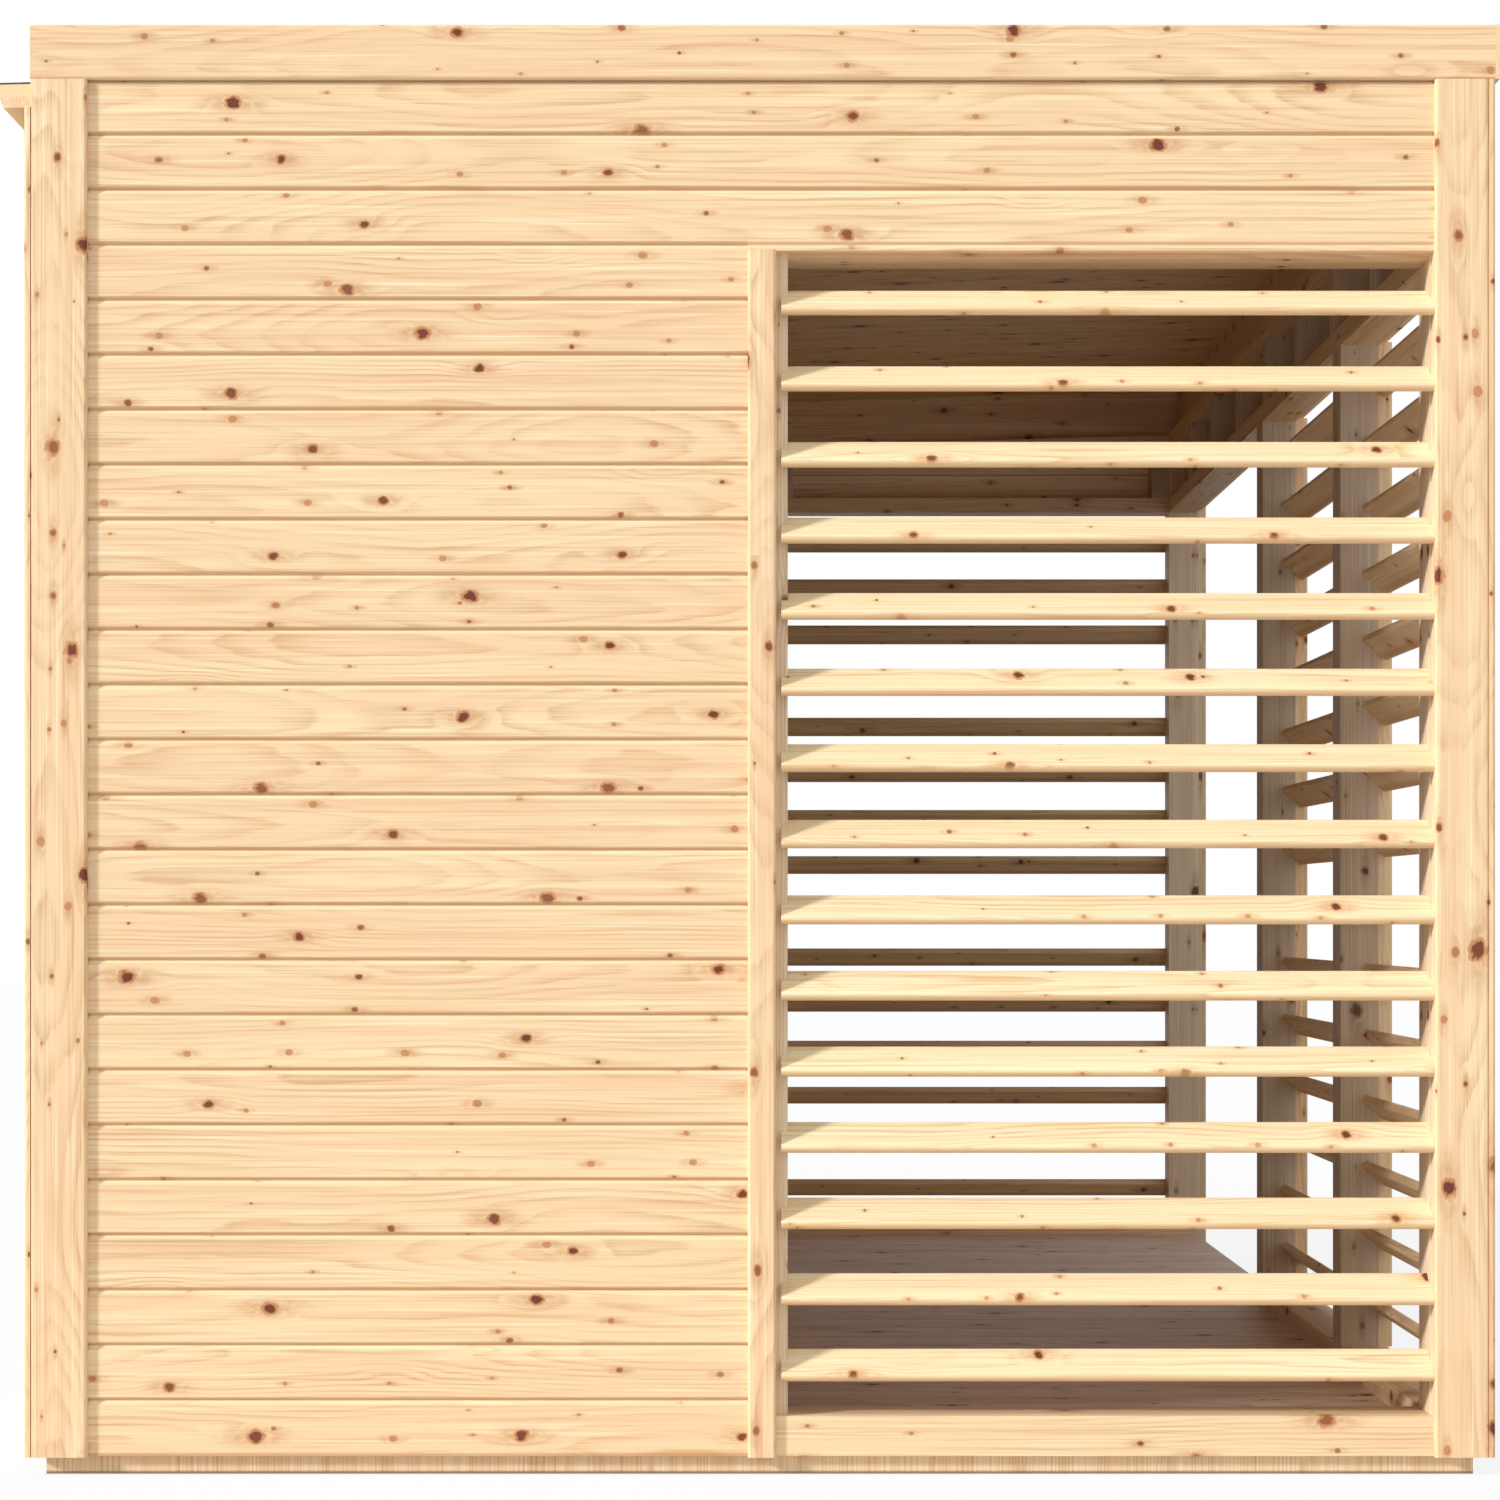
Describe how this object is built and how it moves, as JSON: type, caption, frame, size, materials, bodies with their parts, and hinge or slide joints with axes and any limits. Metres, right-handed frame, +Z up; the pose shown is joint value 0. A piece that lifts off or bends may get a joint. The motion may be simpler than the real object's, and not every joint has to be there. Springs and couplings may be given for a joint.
{
  "type": "garden pavilion",
  "caption": "Timber garden pavilion with boarded walls, fixed louvre bays, an open doorway, a boarded floor and a low sloping roof behind fascias.",
  "frame": {"origin": "on the ground under the middle of the whole building, trims, eave and fascias included", "axes": "+Z up; +X from the back wall to the front wall, where the doorway is; +Y along the front wall from the near side to the far side, where the doorway is"},
  "size_m": [2.4, 3, 2.318],
  "materials": {
    "wall_boards": "planed untreated pine, v-jointed",
    "trims": "planed untreated pine with eased edges",
    "slats": "planed untreated pine with a rounded nose",
    "frame_timber": "planed untreated pine",
    "base_timber": "sawn pine, end grain and faces",
    "floor_boards": "planed untreated pine, v-jointed",
    "roof_boards": "planed untreated pine, v-jointed",
    "roofing_felt": "mineral-faced bitumen felt"
  },
  "bodies": {
    "root": {"side_bearers": "base_timber", "cross_joists": "base_timber", "floor_boards": "floor_boards", "side_sole_plates": "frame_timber", "end_sole_plates": "frame_timber", "side_top_plates": "frame_timber", "end_top_plates": "frame_timber", "back_corner_posts": "frame_timber", "front_corner_posts": "frame_timber", "side_bay_posts": "frame_timber", "side_studs": "frame_timber", "back_studs": "frame_timber", "louvre_post": "frame_timber", "door_post": "frame_timber", "side_head_rails": "frame_timber", "front_head_rail": "frame_timber", "side_header_studs": "frame_timber", "front_header_studs": "frame_timber", "near_wall_boards": "wall_boards", "near_top_boards": "wall_boards", "near_sill_board": "wall_boards", "far_wall_boards": "wall_boards", "far_top_boards": "wall_boards", "far_sill_board": "wall_boards", "back_wall_boards": "wall_boards", "front_top_boards": "wall_boards", "front_sill_board": "wall_boards", "front_corner_packers": "wall_boards", "near_slats": "slats", "far_slats": "slats", "front_corner_slats": "slats", "front_middle_slats": "slats", "near_back_trim": "trims", "near_front_trim": "trims", "far_back_trim": "trims", "far_front_trim": "trims", "side_bay_trims": "trims", "front_post_covers": "trims", "rafters": "frame_timber", "roof_deck": "roof_boards", "roof_felt": "roofing_felt", "eave_board": "trims", "side_fascias": "trims", "front_fascia": "trims"}
  },
  "joints": []
}
